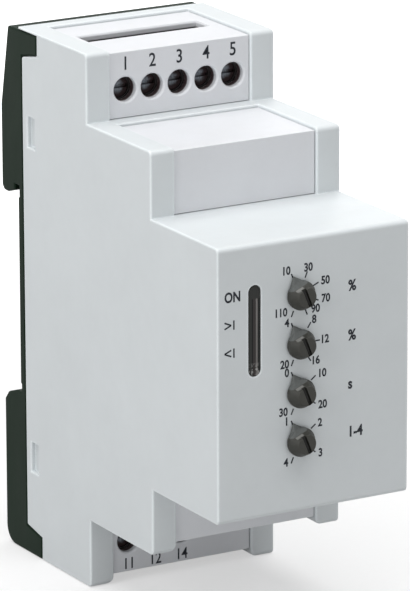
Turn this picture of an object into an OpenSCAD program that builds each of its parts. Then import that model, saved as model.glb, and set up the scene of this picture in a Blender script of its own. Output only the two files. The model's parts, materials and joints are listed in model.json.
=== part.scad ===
/* [Enclosure] */
// Width across the side walls
body_w = 35; // [34:0.5:42]
// Height of the rear tier
body_h = 90; // [88:0.5:100]
// Step between the rear tier and the middle tier, at either end
rear_step = 11.5; // [11:0.1:12]
// Step between the middle tier and the nose, at either end
mid_step = 11; // [9:0.1:12]
// Distance from the rail seat to the front of the nose
nose_depth = 65.3; // [60:0.1:75]
// Distance from the rail seat to the front of the middle tier
mid_depth = 44.4; // [40:0.1:50]
// Distance from the rail seat to the front of the rear tier
tier_depth = 23.6; // [23:0.1:27]
// Wall of the housing
wall = 1.8; // [1.7:0.1:2.2]
// Rounding of the front edges of each tier
front_r = 0.8; // [0.3:0.1:1.2]
// Width of the side rims beside the inserts
rim_w = 4.4; // [4:0.1:4.8]
// Depth of the rear rim behind the top insert
rear_rim = 2.6; // [2.3:0.1:3]
// Depth of the rear rim behind the middle insert
mid_rear_rim = 2.4; // [2:0.1:3]
// Rounding of the inner corners of the lower rims
rim_r = 1.3; // [0.5:0.1:1.6]
// Gap between shells that are pushed together
fit = 0.1; // [0.05:0.01:0.2]
// Size of the snap dent along the depth
dent_d = 2.4; // [1.8:0.1:2.8]
// Height of the snap dent
dent_h = 5.1; // [4:0.1:6]
// Depth of the snap dent and height of the nib behind it
dent_t = 0.8; // [0.4:0.1:1]
// Height of the snap dents above and below the middle
dent_z = 27.9; // [24:0.1:32]

/* [Inserts] */
// Set-back of the inserts from the tier fronts
insert_recess = 0.5; // [0.2:0.1:1]
// Set-back of the upper inserts from the tier tops
upper_drop = 0.6; // [0.2:0.1:1.2]
// Set-back of the lower inserts from the tier bottoms
lower_drop = 1.6; // [0.6:0.1:1.6]
// Reach of the inserts behind the rims
lap = 1.2; // [0.8:0.1:1.3]
// Thickness of that reach
lap_t = 0.8; // [0.6:0.1:0.9]
// Diameter of the screwdriver holes
driver_d = 4.1; // [4:0.1:4.4]
// Bevel around the screwdriver holes and the wire slot
hole_bevel = 0.25; // [0.1:0.05:0.35]
// Length of the wire slot
slot_l = 22.4; // [20:0.1:23]
// Width of the wire slot
slot_w = 4.3; // [4.2:0.1:4.6]
// Sideways place of the middle of the wire slot
slot_x = -0.4; // [-1:0.1:0]

/* [Terminals] */
// Distance between neighbouring terminals
pole_pitch = 5; // [5:0.05:5.2]
// Distance from the end of the tier to the screw axis
pole_drop = 6.8; // [6.4:0.1:7]
// Number of upper terminals
upper_poles = 5; // [3:1:5]
// Number of lower terminals
lower_poles = 3; // [3:1:5]
// Gap between an insert and the terminal block behind it
block_gap = 0.3; // [0.2:0.1:0.5]
// Side wall of a terminal block
block_wall = 0.7; // [0.5:0.1:1]
// Thread diameter of the clamp screws
screw_d = 2.5; // [2.2:0.1:2.6]
// Head diameter of the clamp screws
screw_head_d = 3.6; // [3.2:0.1:3.8]
// Head thickness of the clamp screws
screw_head_t = 1.1; // [0.9:0.1:1.3]
// Radial clearance of the turning pieces in their bores
turn_gap = 0.08; // [0.03:0.01:0.1]
// Thickness of the shoulder that holds a clamp screw
shoulder_t = 0.7; // [0.5:0.1:0.9]
// Travel of a clamp cage from open to closed
cage_travel = 2.4; // [2:0.1:2.5]
// Wire opening of an open clamp cage
cage_open = 3.7; // [3.4:0.1:4]
// Width of a clamp cage
cage_w = 3.8; // [3.7:0.1:3.9]
// Height of a clamp cage
cage_h = 3.8; // [3.4:0.1:4]
// Side wall of a clamp cage
cage_side = 0.4; // [0.3:0.05:0.5]
// Threaded wall of a clamp cage
cage_front = 1.2; // [1:0.1:1.3]
// Pressing wall of a clamp cage
cage_back = 0.6; // [0.5:0.1:0.8]
// Clearance of sliding pieces
slide_gap = 0.3; // [0.2:0.05:0.35]
// Thickness of the contact bars
bar_t = 0.8; // [0.6:0.1:1]

/* [Front controls] */
// Sideways place of the knobs
knob_x = -2.7; // [-4:0.1:2]
// Height of the top knob
knob_z = 13.2; // [12:0.1:14]
// Distance between the knobs
knob_pitch = 8; // [7.8:0.1:8.3]
// Diameter of a knob
knob_d = 5.1; // [4.8:0.1:5.6]
// Reach of the knob pointer from the axis
pointer_r = 3.3; // [3.1:0.1:3.8]
// Angle of the pointer at the first mark, to the left of upright
first_mark = 22.5; // [15:0.5:60]
// Height of a knob head
knob_t = 2.3; // [2:0.1:2.8]
// Height of the straight foot of a knob head
knob_foot = 0.7; // [0.5:0.1:1]
// Diameter of the flat top of a knob head
knob_face_d = 3.4; // [3:0.1:4]
// Height of the pointer ramp at its root
ramp_h = 1.2; // [1.1:0.1:1.5]
// Gap between a knob head and the front
knob_gap = 0.3; // [0.2:0.05:0.5]
// Diameter of the knob spindle
spindle_d = 3; // [2.6:0.1:3.4]
// Length of the screwdriver slot in a knob
knob_slot_l = 3.4; // [3:0.1:3.8]
// Width of the screwdriver slot in a knob
knob_slot_w = 0.7; // [0.5:0.05:0.9]
// Sideways place of the indicator window
window_x = -10.8; // [-12:0.1:-9.5]
// Height of the middle of the indicator window
window_z = 8.4; // [7:0.1:9]
// Length of the indicator window
window_l = 14.9; // [14:0.1:17]
// Width of the indicator window
window_w = 2.3; // [2:0.1:2.6]
// Distance between the indicator lamps
lamp_pitch = 4.6; // [4.2:0.1:4.8]
// Diameter of the indicator lamps
lamp_d = 2; // [1.6:0.1:2.2]
// Height of the straight part of the indicator lamps
lamp_h = 3.2; // [2.4:0.1:3.6]
// Reach and thickness of the window rim behind the front
window_rim = 1; // [0.6:0.1:1.2]

/* [Rail base] */
// Depth of the base behind the rail seat
base_back = 5.7; // [5.6:0.1:7]
// Set-back of the base top below the housing top
base_drop = 0.5; // [0.4:0.05:0.8]
// Distance from the rail seat forward to the side wall edges
side_back = 1.8; // [1.6:0.1:2.1]
// Distance from the rail seat forward to the top plate edge
top_back = 0.5; // [0.3:0.1:0.8]
// Depth of the base behind the seat at its tapered top
taper_back = 3.1; // [2.6:0.1:4]
// Height at which the taper of the base starts
taper_z = 31; // [26:0.5:36]
// Radius of the lower rear corner of the base
base_r = 3; // [2:0.1:4]
// Reach of the base ears along the side walls
ear_l = 6.7; // [5:0.1:7.5]
// Height of the base ears at their front end
ear_h = 3.7; // [3:0.1:4.5]
// Slope of the ear edge over its length
ear_slope = 1; // [0.5:0.1:1.2]
// Half height of the flat rail seat
seat_half = 16.1; // [15.5:0.1:16.1]
// Relief behind the edges of the rail
seat_relief = 0.3; // [0.2:0.05:0.5]
// Height of the notch over the upper edge of the rail
notch_z = 18; // [17.9:0.1:18.3]
// Width of that notch
notch_w = 1.3; // [1.2:0.1:1.6]
// Height of the lip of the fixed hook
hook_z = 16.2; // [16.2:0.1:16.6]
// Depth of the foot below the middle
foot_z = 17.5; // [17.4:0.1:17.9]
// Drop of the foot towards the back
foot_drop = 1; // [0.6:0.1:1.5]
// Half width of the sprung latch
latch_half_w = 6.5; // [5:0.1:7.5]
// Side tongue of the sprung latch
tongue_w = 1.8; // [1.2:0.1:2]
// Thickness of the side tongue
tongue_t = 1.4; // [1.2:0.1:1.6]
// Travel of the sprung latch
latch_travel = 3; // [2:0.5:3.5]
// Set-back of the latch from the back of the base
latch_recess = 0.4; // [0.3:0.1:0.6]
// Length of the latch above its spring window
latch_solid = 9.8; // [7:0.1:11]
// Depth and height of the screwdriver pocket in the latch
pocket_d = 2; // [1:0.1:2.4]
// Width of that pocket
pocket_w = 6; // [4:0.1:8]
// Room left between the spring turns when the latch is fully down
spring_spare = 4; // [3:0.5:5]
// Outer diameter of the latch spring
spring_d = 3.8; // [3.4:0.1:3.8]
// Wire diameter of the latch spring
spring_wire = 0.5; // [0.4:0.05:0.6]
// Turns of the latch spring
spring_turns = 6; // [5:1:7]

/* [Boards] */
// Thickness of the circuit boards
board_t = 1.6; // [1.2:0.1:1.8]
// Distance from the front of the base plate to the main board
post_l = 3.5; // [3:0.1:4]
// Diameter of the board posts
post_d = 4; // [3.5:0.1:4.5]
// Diameter of the pins on the board posts
pin_d = 2; // [1.6:0.1:2.4]
// Distance from the front of the nose to the front board
front_board_set = 8.3; // [8:0.1:9]
// Height of the adjuster bodies
trimmer_t = 4.4; // [4:0.1:4.8]
// Width of the adjuster bodies
trimmer_w = 6.1; // [5.8:0.1:6.8]
// Gap between the transformer core and the output relay
core_gap = 6.3; // [4:0.1:8]
// Gap between the output relay and the capacitors beside it
relay_gap = 1.9; // [1.5:0.1:3]
// Height of the output relay
relay_t = 16; // [12:0.5:18]
// Reach of the rim of the output relay
relay_rim = 0.2; // [0.1:0.1:0.3]
// Outer size of the transformer core
core_w = 16; // [14:0.5:16]
// Thickness of the transformer core
core_t = 4.8; // [4:0.1:5]
// Diameter of the supply capacitor
supply_cap_d = 10; // [8:0.5:10]
// Length of the supply capacitor
supply_cap_l = 20; // [16:0.5:24]
// Diameter of the smoothing capacitor
smooth_cap_d = 8; // [6.5:0.5:9]
// Length of the smoothing capacitor
smooth_cap_l = 12; // [10:0.5:16]
// Diameter of the surge absorber
varistor_d = 7; // [6:0.5:8]
// Thickness of the surge absorber
varistor_t = 3.5; // [3:0.1:4]
// Distance from the terminal cavities to the strip that carries the high current
strip_drop = 4.4; // [4:0.1:5]
// Width of the strip that carries the high current
strip_w = 3; // [2:0.1:3.4]
// Diameter of the measuring resistor
resistor_d = 4.5; // [4:0.1:5]
// Length of the measuring resistor
resistor_l = 12; // [10:0.5:13]
// Side of the controller chip
chip_w = 9; // [7:0.5:12]
// Thickness of the controller chip
chip_t = 1.6; // [1:0.1:2]
// Distance from the front board to the middle of the controller chip
chip_set = 17.5; // [14:0.5:19]
// Width of the isolator chip
isolator_w = 6.4; // [6:0.1:7]
// Length of the isolator chip
isolator_l = 4.6; // [4:0.1:4.7]
// Thickness of the isolator chip
isolator_t = 3.4; // [3:0.1:4]
// Length of a chip leg
leg_l = 1.6; // [1:0.1:1.6]
// Gap between the riser board and the parts beside it
riser_gap = 0.7; // [0.4:0.1:1]
// Gap between neighbouring parts on the main board
part_gap = 2; // [1:0.1:2.4]
// Gap at either end of the capacitors
can_gap = 2.6; // [1.5:0.1:3]
// Height of the groove near the foot of a capacitor
can_groove = 2.2; // [1.5:0.1:3]
// Diameter of the wire leads
lead_d = 0.8; // [0.6:0.1:1]

/* [Hidden] */
$fn = 64;
over = 1;
half_w = body_w / 2;
half_h = body_h / 2;
mid_half = half_h - rear_step;
nose_half = mid_half - mid_step;
nose_y = -nose_depth;
mid_y = -mid_depth;
tier_y = -tier_depth;
inner_w = half_w - wall;
open_w = half_w - rim_w;
tier_open_y = -(top_back + rear_rim);
mid_open_y = tier_y - mid_rear_rim;
dent_set = 2.8;
dent_y = -(side_back + dent_set);

// Base and board levels along the depth
base_front = -(side_back - fit);
base_top = half_h - base_drop;
board_back = base_front - post_l;
board_face = board_back - board_t;
upstand_out = inner_w - 2 * fit;
upstand_t = 1.2;
upstand_in = upstand_out - upstand_t;
upstand_y = board_face - 2.2;
upstand_h = 35;
board_half_w = upstand_in - 0.5;

// Clamp screw and cage levels along the depth
insert_back = tier_y + wall + fit + lap_t;
block_front = insert_back + block_gap;
head_front = block_front + 0.2;
head_back = head_front + screw_head_t;
shoulder_front = head_back + fit;
shoulder_back = shoulder_front + shoulder_t;
cage_y = shoulder_back + 0.2 + cage_travel;
bar_front = cage_y + cage_front + 0.2;
bar_back = bar_front + bar_t;
cage_end = bar_back + cage_open + cage_back;
screw_tip = bar_front - 0.4;
slot_y = bar_back + cage_open / 2;

// Terminal heights, for the upper row
pole_z = half_h - pole_drop;
block_top = half_h - wall - fit - lap_t - block_gap;
cavity_low = pole_z - cage_h / 2 - 1.9;
block_low = cavity_low - 1;
cavity_high = pole_z + cage_h / 2 + slide_gap;
cavity_half = cage_w / 2 + slide_gap;
first_pole = -2 * pole_pitch;
block_half_w = 2 * pole_pitch + cavity_half + block_wall;
bar_half_w = cage_w / 2 - cage_side - slide_gap;

// Front board levels
front_board_y = nose_y + front_board_set;
front_board_back = front_board_y + board_t;
trimmer_front = front_board_y - trimmer_t;
spindle_end = trimmer_front + 1.4;
knob_under = nose_y - knob_gap;
front_board_half_h = nose_half - wall - 0.9;
front_board_half_w = inner_w - 0.8;

// Riser board between the front board and the main board
riser_out = board_half_w;
riser_in = riser_out - board_t;
riser_half_h = front_board_half_h - 1.8;

// Latch levels
groove_floor = 1;
groove_half = latch_half_w + slide_gap;
groove_step = groove_floor + 2 * slide_gap + tongue_t;
latch_y = groove_floor + slide_gap;
latch_back = base_back - latch_recess;
latch_top = -(seat_half + 0.1);
latch_low = -(half_h - 0.4);
window_top = latch_top - latch_solid;
spring_l = spring_turns * spring_wire + latch_travel + spring_spare;
rib_top = window_top - spring_l;
rib_h = 2;
spring_sides = 6;
spring_steps = 14;
spring_rings = spring_turns * spring_steps;
spring_rise = spring_l - spring_wire - 0.1;
latch_window_half = spring_d / 2 + 0.5;
spring_y = (groove_floor + latch_back) / 2 + 0.05;

// Posts that carry the main board
post_inset = 2.3;
post_x = board_half_w - post_inset;
post_z = 28;

// Places of the pieces on the main board
strip_z = cavity_low - strip_drop;
resistor_z = strip_z - strip_w / 2 - resistor_d / 2 - part_gap;
core_x = riser_in - riser_gap - core_w / 2;
core_z = resistor_z - resistor_d / 2 - part_gap - core_w / 2;
supply_cap_x = riser_in - riser_gap - supply_cap_d / 2;
supply_cap_z = core_z - core_w / 2 - can_gap - supply_cap_d / 2;
smooth_cap_z = supply_cap_z - supply_cap_d / 2 - can_gap - smooth_cap_d / 2;
varistor_x = riser_in - varistor_d / 2;

// The output relay fills the board beside the capacitors, down to the lower middle insert
relay_left = 3 * relay_rim - board_half_w;
relay_w = supply_cap_x - supply_cap_d / 2 - relay_gap - relay_left;
relay_x = relay_left + relay_w / 2;
relay_low = -(mid_half - wall - fit - lap_t - slide_gap - relay_rim);
relay_l = core_z - core_w / 2 - core_gap - relay_low;
relay_z = relay_low + relay_l / 2;

// A block between two places along each axis
module block(x, y, z) {
  translate([x[0], y[0], z[0]])
    cube([x[1] - x[0], y[1] - y[0], z[1] - z[0]]);
}

// A depth and height outline, carried across the width
module across(x0, x1) {
  translate([x0, 0, 0])
    rotate([90, 0, 90])
      linear_extrude(x1 - x0)
        children();
}

// A width and height outline, carried along the depth
module deep(y0, y1) {
  translate([0, y1, 0])
    rotate([90, 0, 0])
      linear_extrude(y1 - y0)
        children();
}

// A round bar or bore along the depth
module rod(x, z, y0, y1, d) {
  translate([x, y0, z])
    rotate([-90, 0, 0])
      cylinder(h = y1 - y0, d = d);
}

// A cone along the depth
module cone(x, z, y0, y1, d0, d1) {
  translate([x, y0, z])
    rotate([-90, 0, 0])
      cylinder(h = y1 - y0, d1 = d0, d2 = d1);
}

// The same piece at the bottom of the relay
module below() {
  mirror([0, 0, 1])
    children();
}

function pole_x(i) = first_pole + i * pole_pitch;
function knob_height(i) = knob_z - i * knob_pitch;

// Side outline of one tier, with rounded front corners
module tier_outline(front, half, back, r) {
  translate([front + r, -half])
    square([back - front - r, 2 * half]);
  translate([front, -half + r])
    square([back - front, 2 * half - 2 * r]);
  for (s = [-1, 1])
    translate([front + r, s * (half - r)])
      circle(r);
}

// Side outline of the three tiers, drawn in by the given amount
module stepped_outline(inset, back) {
  r = max(front_r - inset, 0.1);
  tier_outline(nose_y + inset, nose_half - inset, back, r);
  tier_outline(mid_y + inset, mid_half - inset, back, r);
  tier_outline(tier_y + inset, half_h - inset, back, r);
}

// Room for an insert: open at the front and at the end of a tier
module insert_opening(front, foot, end, back) {
  block([-open_w, open_w], [front - over, front + wall + over / 2], [foot, end + over]);
  block([-open_w, open_w], [front - over, back], [end - wall - over / 2, end + over]);
}

// Rounding of the inner corners of a lower rim, as a cut
module rim_corner_cut(front, end, back) {
  for (s = [-1, 1])
    deep(front - over, back)
      difference() {
        translate([s > 0 ? open_w - 0.01 : -open_w - rim_r, end - rim_r])
          square([rim_r + 0.01, rim_r + over]);
        translate([s * (open_w + rim_r), end - rim_r])
          circle(rim_r);
      }
}

// Height of the sloping edge of an ear
function ear_edge(y) = half_h - ear_h - ear_slope * (y + ear_l) / (ear_l - side_back);

// Cut for one pair of ears at the end of the side walls
module ear_cut() {
  start = -ear_l - fit;
  reach = half_h + over;
  across(-half_w - over, half_w + over)
    polygon([[start, ear_edge(start) - fit], [over, ear_edge(over) - fit], [over, reach], [start, reach]]);
}

// Oblong outline standing upright
module oblong(w, l) {
  square([w, l - w], center = true);
  for (s = [-1, 1])
    translate([0, s * (l - w) / 2])
      circle(d = w);
}

module dents(side_out, side_in, grow) {
  for (s = [-1, 1], t = [-1, 1])
    block(s > 0 ? [side_in, side_out] : [-side_out, -side_in],
      [dent_y - dent_d / 2 - grow, dent_y + dent_d / 2 + grow],
      [t * dent_z - dent_h / 2 - grow, t * dent_z + dent_h / 2 + grow]);
}

module housing() {
  color([0.80, 0.82, 0.83])
    difference() {
      union() {
        difference() {
          across(-half_w, half_w)
            stepped_outline(0, -top_back);
          across(-inner_w, inner_w)
            stepped_outline(wall, over);
        }
        dents(inner_w + 0.2, inner_w - dent_t, -0.2);
      }
      // Back edges of the side walls and of the bottom plate, and the lip over the base
      block([-half_w - over, half_w + over], [-side_back, over],
        [-half_h - over, base_top + fit]);
      // Ears of the base; the top plate runs on over the upper pair
      intersection() {
        ear_cut();
        difference() {
          block([-half_w - over, half_w + over], [-body_h, over], [0, base_top + fit]);
          block([-inner_w + fit, inner_w - fit], [-body_h, over], [0, half_h + over]);
        }
      }
      difference() {
        below()
          ear_cut();
        block([-inner_w + fit, inner_w - fit], [-body_h, 2 * over], [-half_h - 2 * over, 0]);
      }
      // Openings of the four inserts
      insert_opening(tier_y, mid_half, half_h, tier_open_y);
      insert_opening(mid_y, nose_half, mid_half, mid_open_y);
      below() {
        insert_opening(tier_y, mid_half, half_h, tier_open_y);
        insert_opening(mid_y, nose_half, mid_half, mid_open_y);
        rim_corner_cut(tier_y, half_h, tier_open_y);
        rim_corner_cut(mid_y, mid_half, mid_open_y);
      }
      // Snap dents outside
      dents(half_w + over, half_w - dent_t, 0);
      // Window slot and knob bores
      deep(nose_y - over, nose_y + wall + over)
        translate([window_x, window_z])
          oblong(window_w, window_l);
      for (i = [0:3])
        rod(knob_x, knob_height(i), nose_y - over, nose_y + wall + over, spindle_d + 2 * turn_gap);
    }
}

// Insert that closes one tier: a front plate, an end plate, and a reach behind the rims
module insert_shell(front, foot, end, back, drop) {
  w = open_w - fit;
  w_lap = open_w + lap;
  seat = front + wall + fit;
  under = end - wall - fit;
  block([-w, w], [front + insert_recess, seat], [foot + fit, end - drop]);
  block([-w, w], [front + insert_recess, back - fit], [under, end - drop]);
  block([-w_lap, w_lap], [seat, seat + lap_t], [foot - lap, under]);
  block([-w_lap, w_lap], [seat, back + lap], [under - lap_t, under]);
}

// Insert with screwdriver holes in front and a wire slot in its end
module terminal_insert(poles, drop) {
  face = tier_y + insert_recess;
  top = half_h - drop;
  difference() {
    insert_shell(tier_y, mid_half, half_h, tier_open_y, drop);
    for (i = [0:poles - 1]) {
      rod(pole_x(i), pole_z, face - over, insert_back + over, driver_d);
      cone(pole_x(i), pole_z, face - hole_bevel, face + hole_bevel,
        driver_d + 4 * hole_bevel, driver_d);
    }
    block([slot_x - slot_l / 2, slot_x + slot_l / 2],
      [slot_y - slot_w / 2, slot_y + slot_w / 2], [block_top - over, half_h + over]);
    // Bevel around the wire slot
    intersection() {
      across(-half_w, half_w)
        polygon([
          [slot_y - slot_w / 2 - 2 * hole_bevel, top + hole_bevel],
          [slot_y + slot_w / 2 + 2 * hole_bevel, top + hole_bevel],
          [slot_y + slot_w / 2, top - hole_bevel],
          [slot_y - slot_w / 2, top - hole_bevel]
        ]);
      deep(-tier_depth, 0)
        polygon([
          [slot_x - slot_l / 2 - 2 * hole_bevel, top + hole_bevel],
          [slot_x + slot_l / 2 + 2 * hole_bevel, top + hole_bevel],
          [slot_x + slot_l / 2, top - hole_bevel],
          [slot_x - slot_l / 2, top - hole_bevel]
        ]);
    }
  }
}

module upper_terminal_cover() {
  color([0.83, 0.83, 0.86])
    terminal_insert(upper_poles, upper_drop);
}

module lower_terminal_cover() {
  color([0.83, 0.83, 0.86])
    below()
      terminal_insert(lower_poles, lower_drop);
}

module upper_blank_cover() {
  color([0.83, 0.83, 0.86])
    insert_shell(mid_y, nose_half, mid_half, mid_open_y, upper_drop);
}

module lower_blank_cover() {
  color([0.83, 0.83, 0.86])
    below()
      insert_shell(mid_y, nose_half, mid_half, mid_open_y, lower_drop);
}

module indicator_window() {
  color([0.18, 0.14, 0.13])
    translate([window_x, 0, window_z]) {
      deep(nose_y + 0.3, nose_y + wall + fit + 0.01)
        oblong(window_w - 2 * fit, window_l - 2 * fit);
      deep(nose_y + wall + fit, nose_y + wall + fit + window_rim)
        oblong(window_w + 2 * window_rim, window_l + 2 * window_rim);
    }
}

// Outline of a knob pointer: two sides from the tip at +Y down to a disc of radius r
module pointer_outline(r, tip) {
  a = acos(r / tip);
  polygon([[0, 0], [-r * sin(a), r * cos(a)], [0, tip], [r * sin(a), r * cos(a)]]);
}

// Knob at the origin, its head towards -Y and its pointer towards +Z
module knob_shape() {
  r = knob_d / 2;
  tip_t = 0.15;
  root_z = knob_face_d / 2 + 0.05;
  root_half = 1;
  rod(0, 0, -knob_foot, 0, knob_d);
  difference() {
    cone(0, 0, -knob_t, -knob_foot + 0.01, knob_face_d, knob_d);
    // The cone is cut away above the ramp, with a steep step up to its flat top
    across(-r, r)
      polygon([
        [-knob_t - over, root_z - 0.35], [-knob_t, root_z - 0.35], [-ramp_h, root_z],
        [-tip_t, pointer_r], [-knob_t - over, pointer_r]
      ]);
  }
  // Pointer, sloping down towards its tip
  hull() {
    deep(-tip_t, 0)
      pointer_outline(r - 0.05, pointer_r);
    block([-root_half, root_half], [-ramp_h, 0], [0, root_z]);
  }
  rod(0, 0, -0.01, spindle_end - knob_under, spindle_d);
}

module knob(i) {
  slot_d = 0.6;
  color([0.37, 0.37, 0.35])
    translate([knob_x, knob_under, knob_height(i)])
      rotate([0, -first_mark, 0])
        difference() {
          knob_shape();
          block([-knob_slot_w / 2, knob_slot_w / 2], [-knob_t - over, -knob_t + slot_d],
            [-knob_slot_l / 2, knob_slot_l / 2]);
        }
}

// Side outline of the base, with the rail recess
module base_outline() {
  polygon([
    [base_front, -half_h], [base_front, base_top], [taper_back, base_top],
    [base_back, taper_z], [base_back, hook_z + 0.7], [base_back - 0.7, hook_z],
    [base_back - 2, hook_z], [notch_w, notch_z - 1], [notch_w, notch_z],
    [-seat_relief, notch_z], [-seat_relief, seat_half], [0, seat_half], [0, -seat_half],
    [-seat_relief, -seat_half], [-seat_relief, -foot_z], [notch_w, -foot_z],
    [base_back - 1.2, -foot_z - foot_drop], [base_back, -foot_z - foot_drop - 1.4],
    [base_back, base_r - half_h], [base_back - base_r, -half_h]
  ]);
  translate([base_back - base_r, base_r - half_h])
    circle(base_r);
}

// Hollow of the base behind the main board, above the rail
module upper_hollow() {
  across(-upstand_in + fit, upstand_in - fit)
    polygon([
      [base_front - over, notch_z + 2.2], [base_back - 2, notch_z + 2.2],
      [base_back - 2, taper_z], [taper_back - 2, base_top - 2], [base_front - over, base_top - 2]
    ]);
}

// Hollows of the base beside the latch
module lower_hollows() {
  wall_t = 2.5;
  x_in = groove_half + tongue_w + 2;
  for (s = [-1, 1])
    block(s > 0 ? [x_in, upstand_in - fit] : [-upstand_in + fit, -x_in],
      [base_front - over, base_back - 2.2],
      [-half_h + wall_t, -foot_z - foot_drop - wall_t]);
}

// Side outline of an ear, up to the given height
module ear_outline(end) {
  root = base_front + 0.2;
  polygon([[-ear_l, ear_edge(-ear_l)], [root, ear_edge(root)], [root, end], [-ear_l, end]]);
}

module rear_base() {
  color([0.19, 0.22, 0.19])
    difference() {
      union() {
        difference() {
          across(-half_w, half_w)
            base_outline();
          upper_hollow();
          lower_hollows();
          // Groove of the latch
          block([-groove_half, groove_half], [groove_floor, base_back + over],
            [-half_h - over, -seat_half]);
          block([-groove_half - tongue_w, groove_half + tongue_w], [groove_floor, groove_step],
            [-half_h - over, -foot_z - 0.5]);
        }
        // Ears that lap the ends of the side walls
        for (s = [-1, 1])
          across(s > 0 ? inner_w + fit : -half_w, s > 0 ? half_w : -inner_w - fit) {
            ear_outline(base_top);
            mirror([0, 1])
              ear_outline(half_h);
          }
        // Walls that reach into the housing
        for (s = [-1, 1])
          block(s > 0 ? [upstand_in, upstand_out] : [-upstand_out, -upstand_in],
            [upstand_y, base_front + 0.2], [-upstand_h, upstand_h]);
        // Posts and pins of the main board
        for (x = [-post_x, post_x], z = [-post_z, post_z]) {
          rod(x, z, board_back, base_back - 1, post_d);
          rod(x, z, board_face, board_back + over, pin_d);
        }
        // Rib that carries the latch spring
        block([-spring_d / 2, spring_d / 2], [groove_floor - 0.2, latch_back - 0.4],
          [rib_top - rib_h, rib_top]);
      }
      // Windows for the nibs of the housing
      dents(half_w - wall, upstand_in - over / 2, 0.3);
    }
}

module rail_latch() {
  color([0.17, 0.19, 0.17])
    difference() {
      union() {
        across(-latch_half_w, latch_half_w)
          polygon([
            [latch_y, latch_low], [latch_y, latch_top - 0.4], [latch_y + 0.4, latch_top],
            [latch_y + 1.6, latch_top], [latch_back, latch_top - latch_back + latch_y + 1.6],
            [latch_back, latch_low]
          ]);
        block([-latch_half_w - tongue_w, latch_half_w + tongue_w],
          [latch_y, latch_y + tongue_t], [latch_low, -foot_z - 1.5]);
      }
      // Window of the spring
      block([-latch_window_half, latch_window_half], [0, base_back + over],
        [rib_top - rib_h - 0.3, window_top]);
      // Pocket for the tip of a screwdriver
      block([-pocket_w / 2, pocket_w / 2], [latch_back - pocket_d, base_back + over],
        [latch_low + 0.7 * pocket_d, latch_low + 1.8 * pocket_d]);
    }
}

// Points of the spring wire, ring by ring
function spring_point(k, j) =
  let(a = 360 * k / spring_steps, b = 360 * j / spring_sides,
      r = spring_d / 2 - spring_wire / 2 + spring_wire / 2 * cos(b))
  [r * cos(a), r * sin(a), spring_rise * k / spring_rings + spring_wire / 2 * sin(b)];

module latch_spring() {
  color([0.72, 0.73, 0.74])
    translate([0, spring_y, rib_top + spring_wire / 2 + 0.05])
      polyhedron(
        points = [for (k = [0:spring_rings], j = [0:spring_sides - 1]) spring_point(k, j)],
        faces = concat(
          [[for (j = [0:spring_sides - 1]) j]],
          [for (k = [0:spring_rings - 1], j = [0:spring_sides - 1])
            let(n = (j + 1) % spring_sides, a = k * spring_sides)
            [a + j, a + spring_sides + j, a + spring_sides + n, a + n]],
          [[for (j = [spring_sides - 1:-1:0]) spring_rings * spring_sides + j]]
        ),
        convexity = 8
      );
}

// Body of one terminal block, open towards the main board
module terminal_body(poles) {
  difference() {
    block([-block_half_w, block_half_w], [block_front, board_face], [block_low, block_top]);
    for (i = [0:poles - 1]) {
      x = pole_x(i);
      block([x - cavity_half, x + cavity_half], [shoulder_back, board_face + over],
        [cavity_low, cavity_high]);
      // Way in for the wire
      block([x - bar_half_w - 0.2, x + bar_half_w + 0.2], [bar_back, bar_back + cage_open],
        [cavity_high - over, block_top + over]);
      rod(x, pole_z, block_front - over, shoulder_front, screw_head_d + 2 * turn_gap);
      rod(x, pole_z, shoulder_front - 0.01, shoulder_back + over, screw_d + 2 * turn_gap);
    }
  }
}

module upper_terminal_block() {
  color([0.22, 0.22, 0.22])
    terminal_body(upper_poles);
}

module lower_terminal_block() {
  color([0.22, 0.22, 0.22])
    below()
      terminal_body(lower_poles);
}

// Contact bars: upright in the cage, then back to the main board
module contact_row(poles) {
  tail_half = 0.5;
  for (i = [0:poles - 1]) {
    x = pole_x(i);
    block([x - bar_half_w, x + bar_half_w], [bar_front, bar_back],
      [cavity_low, pole_z + cage_h / 2 - 0.2]);
    block([x - bar_half_w, x + bar_half_w], [bar_front, board_face - 0.6],
      [cavity_low, cavity_low + bar_t]);
    block([x - tail_half, x + tail_half], [bar_front, board_back + 0.6],
      [cavity_low, cavity_low + bar_t]);
  }
}

module upper_contacts() {
  color([0.78, 0.62, 0.36])
    contact_row(upper_poles);
}

module lower_contacts() {
  color([0.78, 0.62, 0.36])
    below()
      contact_row(lower_poles);
}

module clamp_screw(i) {
  x = pole_x(i);
  color([0.72, 0.73, 0.74])
    difference() {
      union() {
        rod(x, pole_z, head_front, head_back, screw_head_d);
        rod(x, pole_z, head_back - 0.01, screw_tip, screw_d);
      }
      block([x - screw_head_d, x + screw_head_d], [head_front - over, head_front + 0.6],
        [pole_z - 0.3, pole_z + 0.3]);
    }
}

// Clamp cage in its open place: a loop around the contact bar
module clamp_cage(i) {
  x = pole_x(i);
  z = [pole_z - cage_h / 2, pole_z + cage_h / 2];
  inner = cage_w / 2 - cage_side;
  color([0.70, 0.71, 0.73])
    difference() {
      block([x - cage_w / 2, x + cage_w / 2], [cage_y, cage_end], z);
      block([x - inner, x + inner], [cage_y + cage_front, cage_end - cage_back],
        [z[0] - over, z[1] + over]);
      rod(x, pole_z, cage_y - over, cage_y + cage_front + over, screw_d + 2 * turn_gap);
    }
}

module trimmer(i, base_color) {
  z = knob_height(i);
  color(base_color)
    difference() {
      block([knob_x - trimmer_w / 2, knob_x + trimmer_w / 2], [trimmer_front, front_board_y],
        [z - trimmer_w / 2, z + trimmer_w / 2]);
      rod(knob_x, z, trimmer_front - over, spindle_end + slide_gap, spindle_d + 2 * turn_gap);
    }
}

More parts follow.
